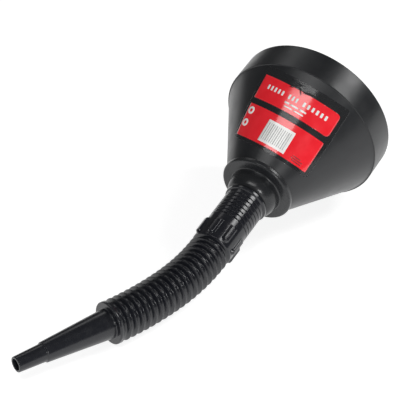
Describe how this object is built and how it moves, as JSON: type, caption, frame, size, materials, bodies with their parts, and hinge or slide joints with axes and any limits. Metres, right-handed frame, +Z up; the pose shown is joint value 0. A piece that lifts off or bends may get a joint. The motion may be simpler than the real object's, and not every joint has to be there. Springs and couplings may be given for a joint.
{
  "type": "oil funnel",
  "caption": "Wide cone funnel with a straight band at the mouth, a round flange, a lift-out strainer, and a turning spout with a ridged grip, bending hose and stepped nozzle.",
  "frame": {"origin": "on the table, under the centre of the whole funnel's box as it lies", "axes": "+Z up from the table it lies on, +X towards the mouth, with the funnel's axis in the XZ plane and the hose bending towards +Y"},
  "size_m": [0.4284, 0.16, 0.1622],
  "materials": {
    "bowl_plastic": "satin moulded polyethylene",
    "spout_plastic": "semi-gloss blow-moulded polyethylene",
    "strainer_plastic": "moulded",
    "strainer_gauze": "woven wire",
    "label_film": "clear film",
    "label_red": "printed film",
    "label_white": "printed film"
  },
  "bodies": {
    "bowl": {"bowl": "bowl_plastic", "label_film": "label_film", "label_upper_panel": "label_red", "label_lower_panel": "label_red", "label_code_panel": "label_white"},
    "strainer": {"strainer_frame": "strainer_plastic", "strainer_gauze": "strainer_gauze"},
    "sleeve": {"spout_sleeve": "spout_plastic"},
    "hose_ring_01": {"hose_ring_01": "spout_plastic"},
    "hose_ring_02": {"hose_ring_02": "spout_plastic"},
    "hose_ring_03": {"hose_ring_03": "spout_plastic"},
    "hose_ring_04": {"hose_ring_04": "spout_plastic"},
    "hose_ring_05": {"hose_ring_05": "spout_plastic"},
    "hose_ring_06": {"hose_ring_06": "spout_plastic"},
    "hose_ring_07": {"hose_ring_07": "spout_plastic"},
    "hose_ring_08": {"hose_ring_08": "spout_plastic"},
    "hose_ring_09": {"hose_ring_09": "spout_plastic"},
    "hose_ring_10": {"hose_ring_10": "spout_plastic"},
    "hose_ring_11": {"hose_ring_11": "spout_plastic"},
    "hose_ring_12": {"hose_ring_12": "spout_plastic"},
    "hose_ring_13": {"hose_ring_13": "spout_plastic"},
    "hose_ring_14": {"hose_ring_14": "spout_plastic"},
    "hose_ring_15": {"hose_ring_15": "spout_plastic"},
    "hose_ring_16": {"hose_ring_16": "spout_plastic"},
    "hose_ring_17": {"hose_ring_17": "spout_plastic"},
    "hose_ring_18": {"hose_ring_18": "spout_plastic"},
    "nozzle": {"nozzle": "spout_plastic"}
  },
  "joints": [
    {"name": "strainer_lift", "type": "slide", "parent": "bowl", "child": "strainer", "axis": [0.9673, 0, 0.2538], "range_m": [0, 0.125]},
    {"name": "spout_turn", "type": "hinge", "parent": "bowl", "child": "sleeve", "pos_m": [0.04895, 0, 0.04693], "axis": [-0.9673, 0, -0.2538], "continuous": true},
    {"name": "hose_bend_01", "type": "hinge", "parent": "sleeve", "child": "hose_ring_01", "pos_m": [-0.00321, 0, 0.03325], "axis": [0.2128, 0.5446, -0.8112], "range_deg": [-6.2, 2.8]},
    {"name": "hose_bend_02", "type": "hinge", "parent": "hose_ring_01", "child": "hose_ring_02", "pos_m": [-0.00967, 0.00016, 0.03166], "axis": [0.2128, 0.5446, -0.8112], "range_deg": [-6.2, 2.8]},
    {"name": "hose_bend_03", "type": "hinge", "parent": "hose_ring_02", "child": "hose_ring_03", "pos_m": [-0.01614, 0.0005, 0.03019], "axis": [0.2128, 0.5446, -0.8112], "range_deg": [-6.2, 2.8]},
    {"name": "hose_bend_04", "type": "hinge", "parent": "hose_ring_03", "child": "hose_ring_04", "pos_m": [-0.02263, 0.00099, 0.02882], "axis": [0.2128, 0.5446, -0.8112], "range_deg": [-6.2, 2.8]},
    {"name": "hose_bend_05", "type": "hinge", "parent": "hose_ring_04", "child": "hose_ring_05", "pos_m": [-0.02913, 0.00165, 0.02756], "axis": [0.2128, 0.5446, -0.8112], "range_deg": [-6.2, 2.8]},
    {"name": "hose_bend_06", "type": "hinge", "parent": "hose_ring_05", "child": "hose_ring_06", "pos_m": [-0.03563, 0.00248, 0.02641], "axis": [0.2128, 0.5446, -0.8112], "range_deg": [-6.2, 2.8]},
    {"name": "hose_bend_07", "type": "hinge", "parent": "hose_ring_06", "child": "hose_ring_07", "pos_m": [-0.04212, 0.00346, 0.02536], "axis": [0.2128, 0.5446, -0.8112], "range_deg": [-6.2, 2.8]},
    {"name": "hose_bend_08", "type": "hinge", "parent": "hose_ring_07", "child": "hose_ring_08", "pos_m": [-0.0486, 0.00461, 0.02444], "axis": [0.2128, 0.5446, -0.8112], "range_deg": [-6.2, 2.8]},
    {"name": "hose_bend_09", "type": "hinge", "parent": "hose_ring_08", "child": "hose_ring_09", "pos_m": [-0.05507, 0.00593, 0.02362], "axis": [0.2128, 0.5446, -0.8112], "range_deg": [-6.2, 2.8]},
    {"name": "hose_bend_10", "type": "hinge", "parent": "hose_ring_09", "child": "hose_ring_10", "pos_m": [-0.06152, 0.0074, 0.02292], "axis": [0.2128, 0.5446, -0.8112], "range_deg": [-5.5, 3.5]},
    {"name": "hose_bend_11", "type": "hinge", "parent": "hose_ring_10", "child": "hose_ring_11", "pos_m": [-0.06795, 0.00896, 0.02228], "axis": [0.2128, 0.5446, -0.8112], "range_deg": [-5.5, 3.5]},
    {"name": "hose_bend_12", "type": "hinge", "parent": "hose_ring_11", "child": "hose_ring_12", "pos_m": [-0.07437, 0.01062, 0.02171], "axis": [0.2128, 0.5446, -0.8112], "range_deg": [-5.5, 3.5]},
    {"name": "hose_bend_13", "type": "hinge", "parent": "hose_ring_12", "child": "hose_ring_13", "pos_m": [-0.08076, 0.01237, 0.02121], "axis": [0.2128, 0.5446, -0.8112], "range_deg": [-5.5, 3.5]},
    {"name": "hose_bend_14", "type": "hinge", "parent": "hose_ring_13", "child": "hose_ring_14", "pos_m": [-0.08714, 0.01422, 0.02077], "axis": [0.2128, 0.5446, -0.8112], "range_deg": [-5.5, 3.5]},
    {"name": "hose_bend_15", "type": "hinge", "parent": "hose_ring_14", "child": "hose_ring_15", "pos_m": [-0.09349, 0.01615, 0.02041], "axis": [0.2128, 0.5446, -0.8112], "range_deg": [-5.5, 3.5]},
    {"name": "hose_bend_16", "type": "hinge", "parent": "hose_ring_15", "child": "hose_ring_16", "pos_m": [-0.09981, 0.01818, 0.02011], "axis": [0.2128, 0.5446, -0.8112], "range_deg": [-5.5, 3.5]},
    {"name": "hose_bend_17", "type": "hinge", "parent": "hose_ring_16", "child": "hose_ring_17", "pos_m": [-0.10611, 0.02029, 0.01988], "axis": [0.2128, 0.5446, -0.8112], "range_deg": [-5.5, 3.5]},
    {"name": "hose_bend_18", "type": "hinge", "parent": "hose_ring_17", "child": "hose_ring_18", "pos_m": [-0.11238, 0.0225, 0.01971], "axis": [0.2128, 0.5446, -0.8112], "range_deg": [-5.5, 3.5]},
    {"name": "hose_bend_19", "type": "hinge", "parent": "hose_ring_18", "child": "nozzle", "pos_m": [-0.11862, 0.02479, 0.01962], "axis": [0.2128, 0.5446, -0.8112], "range_deg": [-5.5, 3.5]}
  ],
  "couplings": [
    {"joint": "hose_bend_02", "follows": "hose_bend_01", "ratio": 1},
    {"joint": "hose_bend_03", "follows": "hose_bend_01", "ratio": 1},
    {"joint": "hose_bend_04", "follows": "hose_bend_01", "ratio": 1},
    {"joint": "hose_bend_05", "follows": "hose_bend_01", "ratio": 1},
    {"joint": "hose_bend_06", "follows": "hose_bend_01", "ratio": 1},
    {"joint": "hose_bend_07", "follows": "hose_bend_01", "ratio": 1},
    {"joint": "hose_bend_08", "follows": "hose_bend_01", "ratio": 1},
    {"joint": "hose_bend_09", "follows": "hose_bend_01", "ratio": 1},
    {"joint": "hose_bend_11", "follows": "hose_bend_10", "ratio": 1},
    {"joint": "hose_bend_12", "follows": "hose_bend_10", "ratio": 1},
    {"joint": "hose_bend_13", "follows": "hose_bend_10", "ratio": 1},
    {"joint": "hose_bend_14", "follows": "hose_bend_10", "ratio": 1},
    {"joint": "hose_bend_15", "follows": "hose_bend_10", "ratio": 1},
    {"joint": "hose_bend_16", "follows": "hose_bend_10", "ratio": 1},
    {"joint": "hose_bend_17", "follows": "hose_bend_10", "ratio": 1},
    {"joint": "hose_bend_18", "follows": "hose_bend_10", "ratio": 1},
    {"joint": "hose_bend_19", "follows": "hose_bend_10", "ratio": 1}
  ]
}
